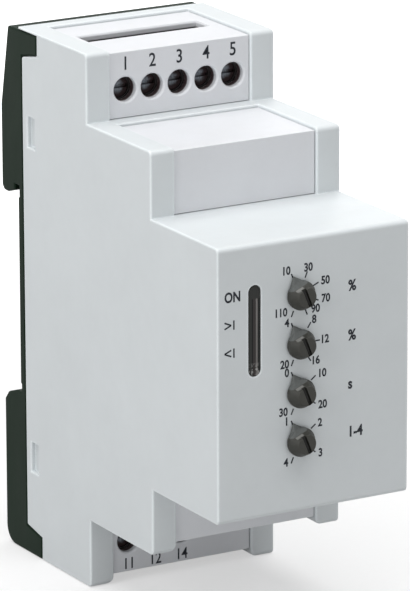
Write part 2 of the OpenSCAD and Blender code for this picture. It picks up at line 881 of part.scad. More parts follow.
module lamp(i, base_color) {
  z = window_z + (1 - i) * lamp_pitch + 1.5;
  color(base_color) {
    rod(window_x, z, front_board_y - lamp_h, front_board_y, lamp_d);
    rod(window_x, z, front_board_y - 0.8, front_board_y, lamp_d + 0.8);
    translate([window_x, front_board_y - lamp_h, z])
      sphere(d = lamp_d);
  }
}

module front_board() {
  color([0.10, 0.33, 0.20])
    block([-front_board_half_w, front_board_half_w], [front_board_y, front_board_back],
      [-front_board_half_h, front_board_half_h]);
}

module riser_board() {
  color([0.10, 0.33, 0.20])
    block([riser_in, riser_out], [front_board_back, board_face], [-riser_half_h, riser_half_h]);
}

module main_board() {
  slack = 0.1;
  color([0.10, 0.33, 0.20])
    difference() {
      block([-board_half_w, board_half_w], [board_face, board_back], [-block_top, block_top]);
      for (x = [-post_x, post_x], z = [-post_z, post_z])
        rod(x, z, board_face - over, board_back + over, pin_d + 2 * slack);
      for (i = [0:upper_poles - 1])
        block([pole_x(i) - 0.5 - slack, pole_x(i) + 0.5 + slack],
          [board_face - over, board_back + over],
          [cavity_low - slack, cavity_low + bar_t + slack]);
      for (i = [0:lower_poles - 1])
        block([pole_x(i) - 0.5 - slack, pole_x(i) + 0.5 + slack],
          [board_face - over, board_back + over],
          [-cavity_low - bar_t - slack, -cavity_low + slack]);
    }
}

module output_relay() {
  color([0.14, 0.20, 0.33]) {
    block([relay_x - relay_w / 2, relay_x + relay_w / 2], [board_face - relay_t, board_face],
      [relay_z - relay_l / 2, relay_z + relay_l / 2]);
    // Rim of the sealed base
    block([relay_left - relay_rim, relay_left + relay_w + relay_rim],
      [board_face - relay_t / 8, board_face - relay_t / 32],
      [relay_low - relay_rim, relay_low + relay_l + relay_rim]);
  }
}

// Bent strip between the two high-current terminals
module shunt_strip() {
  x0 = pole_x(0);
  x1 = pole_x(1);
  height = 6;
  color([0.72, 0.45, 0.30])
    difference() {
      block([x0 - bar_t / 2, x1 + bar_t / 2], [board_face - height, board_face],
        [strip_z - strip_w / 2, strip_z + strip_w / 2]);
      block([x0 + bar_t / 2, x1 - bar_t / 2], [board_face - height + bar_t, board_face + over],
        [strip_z - strip_w, strip_z + strip_w]);
    }
}

module measuring_resistor() {
  y = board_face - 0.4 - resistor_d / 2;
  reach = resistor_l / 2 + 1.6;
  color([0.35, 0.45, 0.40]) {
    translate([-resistor_l / 2, y, resistor_z])
      rotate([0, 90, 0])
        cylinder(h = resistor_l, d = resistor_d);
    translate([-reach - lead_d / 2, y, resistor_z])
      rotate([0, 90, 0])
        cylinder(h = 2 * reach + lead_d, d = lead_d);
    for (s = [-1, 1])
      rod(s * reach, resistor_z, y, board_face, lead_d);
  }
}

// Winding around the middle leg of the core, standing on four feet
module transformer_winding() {
  half_leg = core_t / 2 + fit;
  half_out = core_w / 2 - core_t / 2 - 0.4;
  half_l = core_w / 2 - core_t / 2 - fit;
  y = board_face - 2 - half_out;
  color([0.85, 0.72, 0.25]) {
    difference() {
      block([core_x - half_out, core_x + half_out], [y - half_out, y + half_out],
        [core_z - half_l, core_z + half_l]);
      block([core_x - half_leg, core_x + half_leg], [y - half_leg, y + half_leg],
        [core_z - core_w, core_z + core_w]);
    }
    for (s = [-1, 1], t = [-1, 1])
      rod(core_x + s * (half_out - 1), core_z + t * (half_l - 1), y + half_out - 0.5, board_face, 1.2);
  }
}

module transformer_core() {
  half_out = core_w / 2 - core_t / 2 - 0.4;
  y = board_face - 2 - half_out;
  leg = core_t / 2;
  window_half = core_w / 2 - core_t / 2;
  color([0.20, 0.20, 0.21])
    difference() {
      block([core_x - core_w / 2, core_x + core_w / 2], [y - leg, y + leg],
        [core_z - core_w / 2, core_z + core_w / 2]);
      for (s = [-1, 1])
        block(s > 0 ? [core_x + leg, core_x + window_half] : [core_x - window_half, core_x - leg],
          [y - core_t, y + core_t], [core_z - window_half, core_z + window_half]);
    }
}

// Can with a groove near its foot, standing on the main board
module can(x, z, d, l) {
  difference() {
    rod(x, z, board_face - l, board_face, d);
    translate([x, board_face - can_groove, z])
      rotate([90, 0, 0])
        rotate_extrude()
          translate([d / 2, 0])
            circle(d / 25, $fn = 24);
  }
}

module supply_capacitor() {
  color([0.16, 0.17, 0.22])
    can(supply_cap_x, supply_cap_z, supply_cap_d, supply_cap_l);
}

module smoothing_capacitor() {
  color([0.16, 0.17, 0.22])
    can(supply_cap_x, smooth_cap_z, smooth_cap_d, smooth_cap_l);
}

module surge_absorber() {
  y = board_face - 1 - varistor_d / 2;
  color([0.20, 0.35, 0.62]) {
    translate([varistor_x, y, strip_z - varistor_t / 2])
      cylinder(h = varistor_t, d = varistor_d);
    for (s = [-1, 1])
      rod(varistor_x + s * varistor_d / 4, strip_z, y, board_face, lead_d);
  }
}

// Flat chip with a row of legs on two sides
module chip_shape(w, l, t) {
  leg_w = leg_l / 4;
  leg_t = 0.5;
  leg_pitch = 1.27;
  count = floor(l / 1.3);
  translate([-w / 2, -t, -l / 2])
    cube([w, t - 0.4 * leg_t, l]);
  for (s = [-1, 1], i = [0:count - 1])
    translate([s * w / 2 - leg_l / 2, -leg_t, (i - (count - 1) / 2) * leg_pitch - leg_w / 2])
      cube([leg_l, leg_t, leg_w]);
}

module controller_chip() {
  color([0.12, 0.12, 0.13])
    translate([riser_in, front_board_back + chip_set, 0])
      rotate([0, 0, -90])
        chip_shape(chip_w, chip_w, chip_t);
}

module isolator_chip() {
  color([0.12, 0.12, 0.13])
    translate([supply_cap_x, board_face, -(strip_z + 1)])
      chip_shape(isolator_w, isolator_l, isolator_t);
}

housing();
rear_base();
upper_terminal_cover();
upper_blank_cover();
lower_terminal_cover();
lower_blank_cover();
indicator_window();
knob(0);  // knob_threshold
knob(1);  // knob_hysteresis
knob(2);  // knob_delay
knob(3);  // knob_function
rail_latch();
latch_spring();
upper_terminal_block();
lower_terminal_block();
upper_contacts();
lower_contacts();
clamp_screw(0);  // screw_upper_1
clamp_screw(1);  // screw_upper_2
clamp_screw(2);  // screw_upper_3
clamp_screw(3);  // screw_upper_4
clamp_screw(4);  // screw_upper_5
below() clamp_screw(0);  // screw_lower_1
below() clamp_screw(1);  // screw_lower_2
below() clamp_screw(2);  // screw_lower_3
clamp_cage(0);  // cage_upper_1
clamp_cage(1);  // cage_upper_2
clamp_cage(2);  // cage_upper_3
clamp_cage(3);  // cage_upper_4
clamp_cage(4);  // cage_upper_5
below() clamp_cage(0);  // cage_lower_1
below() clamp_cage(1);  // cage_lower_2
below() clamp_cage(2);  // cage_lower_3
trimmer(0, [0.20, 0.35, 0.62]);  // trimmer_threshold
trimmer(1, [0.20, 0.35, 0.62]);  // trimmer_hysteresis
trimmer(2, [0.20, 0.35, 0.62]);  // trimmer_delay
trimmer(3, [0.12, 0.12, 0.13]);  // selector_switch
lamp(0, [0.30, 0.70, 0.30]);  // lamp_supply
lamp(1, [0.80, 0.30, 0.15]);  // lamp_above
lamp(2, [0.80, 0.30, 0.15]);  // lamp_below
front_board();
riser_board();
main_board();
output_relay();
shunt_strip();
measuring_resistor();
transformer_core();
transformer_winding();
supply_capacitor();
smoothing_capacitor();
surge_absorber();
controller_chip();
isolator_chip();
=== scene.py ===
import json
import math

import bmesh
import bpy
from mathutils import Matrix, Vector
from mathutils.bvhtree import BVHTree


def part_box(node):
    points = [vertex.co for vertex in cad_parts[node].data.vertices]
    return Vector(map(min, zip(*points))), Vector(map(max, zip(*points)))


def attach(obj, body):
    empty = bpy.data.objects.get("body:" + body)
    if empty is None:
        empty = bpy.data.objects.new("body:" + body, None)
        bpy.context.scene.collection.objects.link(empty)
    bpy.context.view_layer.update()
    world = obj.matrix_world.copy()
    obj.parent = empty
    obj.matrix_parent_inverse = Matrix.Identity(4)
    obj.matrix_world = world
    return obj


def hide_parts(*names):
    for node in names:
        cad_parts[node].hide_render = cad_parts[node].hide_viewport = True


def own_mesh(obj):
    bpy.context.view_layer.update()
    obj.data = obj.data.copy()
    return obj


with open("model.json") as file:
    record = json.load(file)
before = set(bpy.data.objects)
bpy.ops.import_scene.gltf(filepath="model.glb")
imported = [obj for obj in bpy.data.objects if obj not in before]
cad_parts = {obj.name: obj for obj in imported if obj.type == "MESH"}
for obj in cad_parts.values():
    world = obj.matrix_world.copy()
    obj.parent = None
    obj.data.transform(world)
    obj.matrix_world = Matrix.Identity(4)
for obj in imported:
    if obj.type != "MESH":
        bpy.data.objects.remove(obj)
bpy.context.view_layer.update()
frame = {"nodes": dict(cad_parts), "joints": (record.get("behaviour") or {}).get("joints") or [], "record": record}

# A current relay for a mounting rail. Meshes are in metres, and the sizes and places named here are in
# millimetres, with x to the right, y to the rail and z up, unless their own comment says otherwise.
MM = 0.001
nodes = frame["nodes"]
joints = {row["name"]: row for row in frame["joints"]}


def axis_of(body):
    """Where the axis of a turning body stands."""
    return Vector(joints[body + "_turn"]["pos_m"]) / MM


# Levels taken from the nodes
housing_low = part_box("housing")[0] / MM
nose_y = housing_low.y
insert_low, insert_high = (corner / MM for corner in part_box("upper_terminal_cover"))
upper_face_y = insert_low.y
lower_face_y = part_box("lower_terminal_cover")[0].y / MM
window_low, window_high = (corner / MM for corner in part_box("indicator_window"))
knob_axis = axis_of("knob_threshold")
knob_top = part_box("knob_threshold")[0].y / MM

# Edge radii of the mouldings, and how much of the narrower face beside an edge a radius may take
HOUSING_EDGE, BASE_EDGE, LATCH_EDGE, INSERT_EDGE = 0.3, 0.35, 0.3, 0.09
ROOM_SHARE = 0.42
# Front edges of the housing, down to FRONT_DEPTH: those within WINDOW_RIM of the window get a share of the
# radius, and those within BORE_RIM of a knob's axis get none
FRONT_DEPTH = 0.5
WINDOW_RIM, WINDOW_EDGE_SHARE = 0.6, 0.18
BORE_RIM = 2.3
# How far the walls of the inserts reach towards the rims
SNUG = 0.09

# Where the painted shade in the terminal inserts begins and where it is full. In a screwdriver hole: from its
# axis, and below the face. In a wire slot: from its middle along and across, and below the top
HOLE_PITCH, HOLE_Z = 5, 38.2
HOLE_SIDES, HOLE_SHADE_DEPTHS = (2.2, 2.1), (0.95, 1.2)
SLOT_X, SLOT_Y = -0.4, -11.85
SLOT_ENDS, SLOT_SIDES, SLOT_SHADE_DEPTHS = (11.35, 11.25), (2.3, 2.2), (0.8, 1.0)
# Added to a place before it is folded, to keep it above 0: a whole number of pitches
FOLD_SHIFT = 40.0

# Knobs: how far apart they are, and the fineness of their skin
KNOB_PITCH = 8
KNOB_SKIN = 0.06
# Between TRIM_FROM and TRIM_TO from its axis a knob keeps this share of its radius, and the pointer that
# reaches further is lengthened
KNOB_TRIM, TRIM_FROM, TRIM_TO, POINTER_GROWTH = 0.94, 1.6, 2.6, 1.5
# Places on a knob, along its pointer and across it, for its painted highlights and the painted shade of its
# slot; a mask goes from 0 to 1 over each pair
KNOB_RAMP = (1.62, 1.75)
KNOB_STEP_ALONG, KNOB_STEP_ACROSS = ((1.42, 1.5), (1.68, 1.6)), ((-1.15, -1.0), (0.4, 0.2))
KNOB_SLOT_ENDS, KNOB_SLOT_SIDES = ((-1.66, -1.6), (1.36, 1.3)), (0.4, 0.36)
KNOB_SLOT_DEPTHS = (0.06, 0.14)

# Window: how far its front stands proud, its flat rim, and the width and depth of the step to its channel
WINDOW_PROUD, WINDOW_FLAT, CHANNEL_STEP, CHANNEL_DEPTH = 0.2, 0.12, 0.08, 0.1
# The rib along the channel: its size, its rounding, and its place from the middle of the window's front
RIB_SIZE, RIB_ROUNDING = (0.34, 0.24, 11.6), 0.08
RIB_RIGHT, RIB_FORWARD, RIB_DOWN = 0.47, 0.05, 1.0
# Heights over which the painted streaks and the painted glints in the window fade in
STREAK_TOP, GLINT_TOP = (13.7, 13.4), (3.3, 2.4)
# Left and right edge of each painted streak from the middle of the window, its softness and its colour; the
# second streak is a painted highlight
WINDOW_STREAKS = (
    (-0.2, 0.72, 0.1, (0.042, 0.037, 0.036, 1)),
    (0.32, 0.62, 0.09, (0.19, 0.182, 0.176, 1)),
    (-0.4, -0.2, 0.07, (0.008, 0.008, 0.008, 1)),
    (0.76, 1.0, 0.06, (0.01, 0.011, 0.011, 1)),
)

# Latch spring: its wire and its turns, and how finely both are modelled
SPRING_WIRE, SPRING_TURNS = 0.5, 6
WIRE_SIDES, STEPS_A_TURN = 12, 30

# Print: the height of the ink, how deep it is sunk, and the width and weight of its letters
INK, INK_SUNK = 0.02, 0.01
CONDENSED, BOLD, LIGHT = 0.86, 0.03, 0.01
# Marks of the dials: angles of the first and last from upright, and where they start from the axis
FIRST_MARK, LAST_MARK = -22.5, 202.5
MARK_START, MARK_LENGTH, MARK_WIDTH = 2.75, 1.05, 0.23
# Numbers of the dials, each with its place on the front (x, z)
DIALS = {
    "knob_threshold": [("10", -5.12, 17.35), ("30", -1.06, 17.43), ("50", 2.07, 14.91),
                       ("70", 2.15, 11.98), ("90", 0.28, 10.54), ("110", -6.09, 10.67)],
    "knob_hysteresis": [("4", -4.94, 8.86), ("8", 0.03, 8.82), ("12", 1.97, 5.30), ("16", 0.29, 2.07),
                        ("20", -5.36, 2.15)],
    "knob_delay": [("0", -4.95, 0.73), ("10", 1.49, -0.20), ("20", 1.62, -5.35), ("30", -5.60, -5.63)],
    "knob_function": [("1", -5.0, -7.25), ("2", 1.15, -8.3), ("3", 1.25, -13.3), ("4", -5.1, -14.0)],
}
DIAL_TEXT = 1.3
# To the right of the dials: their units, each with its height on the front
UNITS = (("%", 13.35), ("%", 5.23), ("s", -2.74), ("1-4", -10.71))
UNIT_X, UNIT_TEXT = 6.3, 1.7
# To the left of the window: ON, then a comparison sign and an upright bar, for above the set value (way 1)
# and below it (way -1)
ON_X, ON_Z, ON_TEXT, ON_CONDENSED = -14.8, 14.5, 1.6, 0.8
SIGNS = ((9.95, 1), (5.4, -1))
SIGN_X, SIGN_REACH, SIGN_RISE, SIGN_WIDTH = -15.65, 0.6, 0.52, 0.25
SIGN_BAR_X, SIGN_BAR = -14.57, 1.5
# Numbers of the terminals: tier, face, texts, height of their middle and height of the figures
TERMINAL_NUMBERS = (
    ("upper", upper_face_y, ("1", "2", "3", "4", "5"), 42.6, 2.2),
    ("lower", lower_face_y, ("11", "12", "14"), -42.1, 1.9),
)

# Camera at the photograph's viewing angle; the distance is in metres
AIM = Vector((-13.13, -53.87, 11.72)) * MM
DISTANCE = 0.86097
YAW, PITCH, ROLL = (math.radians(angle) for angle in (30.01, 15.86, 0.187))
LENS, SENSOR = 333.44, 36

# The lamps stand round this place, in metres; the room adds a little light to matt surfaces
MIDDLE = Vector((0, -0.03, 0))
ROOM_LIGHT = 0.25

# Floor: how far it lies below the housing, its half width in metres, and over which distances from below
# the object's middle it turns white
FLOOR_GAP = 0.05
FLOOR_REACH = 6
FLOOR_MIDDLE_Y, FLOOR_FADE = -30.0, (110, 320)

WHITE = (1, 1, 1, 1)
DUST = (0.62, 0.6, 0.56, 1)


def place_camera():
    data = bpy.data.cameras.new("camera")
    data.sensor_width = SENSOR
    data.lens = LENS
    data.clip_start = 0.05
    data.clip_end = 20
    camera = bpy.data.objects.new("camera", data)
    bpy.context.scene.collection.objects.link(camera)
    camera.matrix_world = (
        Matrix.Translation(AIM) @ Matrix.Rotation(-YAW, 4, "Z") @ Matrix.Rotation(math.pi / 2 - PITCH, 4, "X")
        @ Matrix.Rotation(-ROLL, 4, "Z") @ Matrix.Translation((0, 0, DISTANCE)))
    bpy.context.scene.camera = camera


class Wires:
    """Places and joins the nodes of one material, group or world."""

    def __init__(self, tree):
        self.tree = tree

    def add(self, kind, settings=None, **sockets):
        """A new node with its settings, and with a value or a wire for each named input."""
        node = self.tree.nodes.new(kind)
        for name, value in (settings or {}).items():
            setattr(node, name, value)
        for name, value in sockets.items():
            self.put(value, node.inputs[name.replace("_", " ")])
        return node

    def join(self, start, end):
        self.tree.links.new(start, end)

    def put(self, value, socket):
        if isinstance(value, bpy.types.NodeSocket):
            self.join(value, socket)
        else:
            socket.default_value = value

    def calculate(self, operation, a, b=0.0, clamp=False):
        node = self.tree.nodes.new("ShaderNodeMath")
        node.operation = operation
        node.use_clamp = clamp
        self.put(a, node.inputs[0])
        self.put(b, node.inputs[1])
        return node.outputs[0]

    def plus(self, a, b):
        return self.calculate("ADD", a, b)

    def minus(self, a, b):
        return self.calculate("SUBTRACT", a, b)

    def times(self, first, *others):
        for other in others:
            first = self.calculate("MULTIPLY", first, other)
        return first

    def over(self, a, b):
        return self.calculate("DIVIDE", a, b)

    def absolute(self, value):
        return self.calculate("ABSOLUTE", value)

    def distance(self, a, b):
        """The straight distance to a place that lies a to one side and b up."""
        return self.calculate("SQRT", self.plus(self.times(a, a), self.times(b, b)))

    def spread(self, value, low, high, out_low=0.0, out_high=1.0, smooth=False):
        """Goes from out_low to out_high as the value goes from low to high, and stays there beyond."""
        node = self.tree.nodes.new("ShaderNodeMapRange")
        node.interpolation_type = "SMOOTHSTEP" if smooth else "LINEAR"
        for index, entry in enumerate((value, low, high, out_low, out_high)):
            self.put(entry, node.inputs[index])
        return node.outputs[0]

    def band(self, value, rise, fall):
        """1 between two edges; each edge is the pair of levels over which the mask goes from 0 to 1."""
        return self.times(self.spread(value, *rise), self.spread(value, *fall))

    def blend(self, share, a, b):
        """The colour a, turned into b by the share."""
        node = self.tree.nodes.new("ShaderNodeMix")
        node.data_type = "RGBA"
        # The colours of a Mix node are its inputs 6 and 7, and its output 2
        for index, value in ((0, share), (6, a), (7, b)):
            self.put(value, node.inputs[index])
        return node.outputs[2]

    def place(self):
        """Object coordinates, in millimetres."""
        node = self.tree.nodes.new("ShaderNodeTexCoord")
        scale = self.tree.nodes.new("ShaderNodeVectorMath")
        scale.operation = "SCALE"
        scale.inputs["Scale"].default_value = 1000
        self.join(node.outputs["Object"], scale.inputs[0])
        return scale.outputs[0]

    def axes(self, vector):
        node = self.tree.nodes.new("ShaderNodeSeparateXYZ")
        self.join(vector, node.inputs[0])
        return node.outputs

    def noise(self, vector, scale, detail=2.0, roughness=0.5):
        node = self.add("ShaderNodeTexNoise", Vector=vector, Scale=scale, Detail=detail, Roughness=roughness)
        return node.outputs[0]

    def stretched(self, vector, scale):
        node = self.add("ShaderNodeMapping", Vector=vector, Scale=scale)
        return node.outputs[0]

    def shown_directly(self):
        """1 for what the camera, a gloss or a clear piece sees, 0 for the light on matt surfaces."""
        rays = self.tree.nodes.new("ShaderNodeLightPath").outputs
        gloss = self.calculate("MAXIMUM", rays["Is Glossy Ray"], rays["Is Transmission Ray"])
        return self.calculate("MAXIMUM", rays["Is Camera Ray"], gloss)

    def use(self, group, **values):
        """The outputs of a shared group, placed with its own values."""
        node = self.tree.nodes.new("ShaderNodeGroup")
        node.node_tree = group
        for name, value in values.items():
            self.put(value, node.inputs[name.replace("_", " ")])
        return node.outputs


def softbox(name, azimuth, rise, distance, size, level):
    """A lamp at angles in degrees round the object, with its distance and size in metres.

    The level is the light on a surface that faces the lamp.
    """
    data = bpy.data.lights.new(name, "AREA")
    data.shape = "RECTANGLE"
    data.size, data.size_y = size
    data.energy = level * (math.pi * distance) ** 2
    lamp = bpy.data.objects.new(name, data)
    bpy.context.scene.collection.objects.link(lamp)
    turn, lift = math.radians(azimuth), math.radians(rise)
    away = Vector((math.sin(turn) * math.cos(lift), -math.cos(turn) * math.cos(lift), math.sin(lift)))
    lamp.matrix_world = (Matrix.Translation(MIDDLE + away * distance)
                         @ away.to_track_quat("Z", "Y").to_matrix().to_4x4())
    lamp.visible_camera = False


def light_the_studio():
    """Four lamps in a room that looks white and gives a little light."""
    softbox("overhead", azimuth=0, rise=88, distance=1.1, size=(1.33, 1.33), level=1.28)
    softbox("left", azimuth=-78, rise=21, distance=0.75, size=(0.45, 0.6), level=0.38)
    softbox("low_front", azimuth=-14, rise=3, distance=0.9, size=(0.7, 0.15), level=0.112)
    softbox("right_rear", azimuth=130, rise=7, distance=0.8, size=(0.4, 0.5), level=0.26)
    scene = bpy.context.scene
    scene.view_settings.view_transform = "Standard"
    world = bpy.data.worlds.new("white_room")
    scene.world = world
    world.use_nodes = True
    wires = Wires(world.node_tree)
    wires.tree.nodes.clear()
    seen = wires.add("ShaderNodeBackground", Color=WHITE, Strength=1)
    fill = wires.add("ShaderNodeBackground", Color=WHITE, Strength=ROOM_LIGHT)
    both = wires.add("ShaderNodeMixShader")
    out = wires.add("ShaderNodeOutputWorld")
    wires.join(wires.shown_directly(), both.inputs[0])
    wires.join(fill.outputs[0], both.inputs[1])
    wires.join(seen.outputs[0], both.inputs[2])
    wires.join(both.outputs[0], out.inputs[0])


def effect(name, inputs, outputs):
    """An empty shared group, with its wires, its inputs and its outputs."""
    group = bpy.data.node_groups.new(name, "ShaderNodeTree")
    for label, value in inputs.items():
        socket = group.interface.new_socket(label, in_out="INPUT", socket_type="NodeSocketFloat")
        socket.default_value = value
    for label in outputs:
        group.interface.new_socket(label, in_out="OUTPUT", socket_type="NodeSocketFloat")
    wires = Wires(group)
    given = group.nodes.new("NodeGroupInput").outputs
    result = group.nodes.new("NodeGroupOutput").inputs
    return group, wires, given, result


def make_moulded_grain():
    """The fine spark-eroded grain of a moulded surface, and its slow unevenness."""
    group, wires, given, result = effect("moulded_grain", {"Size": 0.25}, ["Height", "Tone"])
    place = wires.place()
    fine = wires.noise(place, scale=wires.over(1.0, given["Size"]), detail=3, roughness=0.6)
    cloud = wires.noise(place, scale=0.09, detail=3, roughness=0.55)
    patch = wires.noise(place, scale=0.6, detail=2, roughness=0.5)
    wires.join(fine, result["Height"])
    slow = wires.plus(wires.times(cloud, 0.6), wires.times(patch, 0.2))
    mixed = wires.plus(slow, wires.times(fine, 0.2))
    wires.join(wires.spread(mixed, 0.3, 0.7), result["Tone"])
    return group


def make_edge_wear_and_highlight():
    """Painted edge highlight, partly rubbed wear: where the rounded normal leaves the true one."""
    group, wires, given, result = effect("edge_wear_and_highlight", {"Radius": 0.0005, "Breaks": 0.5}, ["Mask"])
    rounded = wires.add("ShaderNodeBevel", {"samples": 4}, Radius=given["Radius"])
    surface = wires.add("ShaderNodeNewGeometry")
    dot = wires.add("ShaderNodeVectorMath", {"operation": "DOT_PRODUCT"})
    wires.join(rounded.outputs[0], dot.inputs[0])
    wires.join(surface.outputs["True Normal"], dot.inputs[1])
    bend = wires.spread(dot.outputs["Value"], 0.998, 0.9)
    breaks = wires.noise(wires.place(), scale=0.7, detail=4, roughness=0.7)
    kept = wires.spread(given["Breaks"], 0, 1, 1, wires.spread(breaks, 0.35, 0.65))
    wires.join(wires.times(bend, kept), result["Mask"])
    return group


def make_settled_dust():
    """Dust that lies on what faces up, thicker in patches."""
    group, wires, given, result = effect("settled_dust", {"Amount": 0.1}, ["Mask"])
    up = wires.axes(wires.add("ShaderNodeNewGeometry").outputs["Normal"])[2]
    flat = wires.spread(up, 0.35, 1.0, smooth=True)
    place = wires.place()
    patches = wires.spread(wires.noise(place, scale=0.25, detail=4, roughness=0.65), 0.35, 0.75)
    specks = wires.spread(wires.noise(place, scale=4.5, detail=2, roughness=0.5), 0.62, 0.72)
    cover = wires.plus(wires.times(patches, 0.7), wires.times(specks, 0.5))
    mask = wires.calculate("MULTIPLY", wires.times(flat, cover), given["Amount"], clamp=True)
    wires.join(mask, result["Mask"])
    return group


def make_handling_marks():
    """Faint wiped smears that change how a surface shines."""
    group, wires, given, result = effect("handling_marks", {"Size": 6.0}, ["Shine"])
    place = wires.place()
    smear = wires.noise(wires.stretched(place, (1.0, 1.0, 0.35)), scale=wires.over(1.0, given["Size"]),
                        detail=4, roughness=0.6)
    hair = wires.noise(wires.stretched(place, (0.4, 6.0, 6.0)), scale=1.2, detail=2, roughness=0.5)
    both = wires.plus(wires.times(smear, 0.75), wires.times(hair, 0.25))
    wires.join(wires.spread(both, 0.3, 0.7), result["Shine"])
    return group


def make_brushed_lines():
    """Fine lines of drawn or milled metal, running along the depth."""
    group, wires, given, result = effect("brushed_lines", {"Pitch": 0.05}, ["Height", "Tone"])
    lines = wires.noise(wires.stretched(wires.place(), (1.0, 0.06, 1.0)),
                        scale=wires.over(1.0, given["Pitch"]), detail=2, roughness=0.6)
    wires.join(lines, result["Height"])
    cloud = wires.noise(wires.place(), scale=0.4, detail=4, roughness=0.6)
    wires.join(wires.spread(cloud, 0.3, 0.7), result["Tone"])
    return group


moulded_grain = make_moulded_grain()
edge_wear_and_highlight = make_edge_wear_and_highlight()
settled_dust = make_settled_dust()
handling_marks = make_handling_marks()
brushed_lines = make_brushed_lines()


def shade(colour, factor):
    """A lighter or darker tone of a colour."""
    return tuple(min(channel * factor, 1) for channel in colour[:3]) + (1,)


class Finish(Wires):
    """A material with its shader, ready for its colour, shine and relief."""

    def __init__(self, name, roughness, **sockets):
        self.material = bpy.data.materials.new(name)
        self.material.use_nodes = True
        super().__init__(self.material.node_tree)
        self.tree.nodes.clear()
        self.shader = self.add("ShaderNodeBsdfPrincipled", Roughness=roughness, **sockets)
        self.join(self.shader.outputs[0], self.add("ShaderNodeOutputMaterial").inputs[0])

    def colour(self, value):
        self.put(value, self.shader.inputs["Base Color"])

    def relief(self, height, depth):
        """Relief of the given depth."""
        bump = self.add("ShaderNodeBump", Strength=1.0, Distance=depth * MM, Height=height)
        self.join(bump.outputs[0], self.shader.inputs["Normal"])

    def shine(self, value, low, high):
        """Roughness from low to high as the value goes from 0 to 1."""
        self.put(self.spread(value, 0, 1, low, high), self.shader.inputs["Roughness"])


def from_hole_axis(finish, x, z):
    """The distance from the axis of the nearest screwdriver hole."""
    off = finish.calculate("PINGPONG", finish.plus(x, FOLD_SHIFT), HOLE_PITCH / 2)
    above = finish.minus(finish.absolute(z), HOLE_Z)
    return finish.distance(off, above)


def slot_shade(finish, tone):
    """Painted shade: the wire slots and the screwdriver holes are painted dark a little below the face of the
    insert.
    """
    x, y, z = finish.axes(finish.place())
    hole = finish.times(finish.spread(from_hole_axis(finish, x, z), *HOLE_SIDES),
                        finish.spread(y, *(upper_face_y + depth for depth in HOLE_SHADE_DEPTHS)))
    tone = finish.blend(hole, tone, (0.07, 0.045, 0.047, 1))
    slot = finish.times(
        finish.spread(finish.absolute(z), *(insert_high.z - depth for depth in SLOT_SHADE_DEPTHS)),
        finish.spread(finish.absolute(finish.minus(y, SLOT_Y)), *SLOT_SIDES),
        finish.spread(finish.absolute(finish.minus(x, SLOT_X)), *SLOT_ENDS))
    return finish.blend(slot, tone, (0.02, 0.012, 0.012, 1))


def screw_head_highlight(finish, tone):
    """A painted highlight, streaked, on the middle of each terminal screw's head."""
    place = finish.place()
    x, _, z = finish.axes(place)
    ragged = finish.plus(from_hole_axis(finish, x, z), finish.noise(place, scale=1.8, detail=4, roughness=0.65))
    middle = finish.spread(ragged, 1.9, 1.0, smooth=True)
    hairs = finish.noise(finish.stretched(place, (9.0, 1.0, 1.5)), scale=1.0, detail=3, roughness=0.6)
    screw_highlight_streaks = finish.spread(hairs, 0.35, 0.6, 0.35, 1)
    return finish.blend(finish.times(middle, screw_highlight_streaks), tone, (0.24, 0.27, 0.3, 1))


def knob_painted_light(finish, tone):
    """Painted light and shade on a knob: a painted highlight on its pointer ramp, a brighter one on its step, and
    painted shade in its slot.
    """
    x, y, z = finish.axes(finish.place())
    row = finish.calculate("ROUND", finish.over(finish.minus(knob_axis.z, z), KNOB_PITCH))
    own_z = finish.minus(knob_axis.z, finish.times(row, KNOB_PITCH))
    right, up = finish.minus(x, knob_axis.x), finish.minus(z, own_z)
    lean = math.radians(FIRST_MARK)
    along = finish.plus(finish.times(right, math.sin(lean)), finish.times(up, math.cos(lean)))
    across = finish.minus(finish.times(right, math.cos(lean)), finish.times(up, math.sin(lean)))
    uneven = finish.noise(finish.place(), scale=2.5, detail=3, roughness=0.6)
    ramp_light_breakup = finish.spread(uneven, 0.3, 0.6, 0.8, 1)
    ramp = finish.times(finish.spread(along, *KNOB_RAMP, smooth=True), ramp_light_breakup)
    tone = finish.blend(ramp, tone, (0.095, 0.102, 0.1, 1))
    step = finish.times(finish.band(along, *KNOB_STEP_ALONG), finish.band(across, *KNOB_STEP_ACROSS), ramp_light_breakup)
    tone = finish.blend(step, tone, (0.2, 0.2, 0.19, 1))
    slot = finish.times(finish.spread(y, *(knob_top + depth for depth in KNOB_SLOT_DEPTHS)),
                        finish.spread(finish.absolute(across), *KNOB_SLOT_SIDES),
                        finish.band(along, *KNOB_SLOT_ENDS))
    return finish.blend(slot, tone, (0.006, 0.006, 0.005, 1))


def moulded(name, colour, roughness, grain, depth, uneven=0.03, wear=0.25, dust=0.12, tint=None,
            edge=0.5, breaks=0.6, **sockets):
    """Moulded plastic: grain, slow unevenness, edges painted lighter (a painted highlight, partly rubbed wear),
    dust and wiped smears.
    """
    finish = Finish(name, roughness, **sockets)
    surface = finish.use(moulded_grain, Size=grain)
    tone = finish.blend(surface["Tone"], shade(colour, 1 - uneven), shade(colour, 1 + uneven))
    if tint:
        tone = tint(finish, tone)
    # Edges painted lighter: a painted highlight on the rounded edges, partly rubbed wear
    edges = finish.use(edge_wear_and_highlight, Radius=edge * MM, Breaks=breaks)["Mask"]
    is_pale = max(colour) > 0.2
    tone = finish.blend(finish.times(edges, wear), tone, shade(colour, 1.4 if is_pale else 2.2))
    tone = finish.blend(finish.use(settled_dust, Amount=dust)["Mask"], tone, DUST)
    finish.colour(tone)
    finish.shine(finish.use(handling_marks, Size=7.0)["Shine"], roughness - 0.05, roughness + 0.06)
    finish.relief(surface["Height"], depth)
    return finish.material


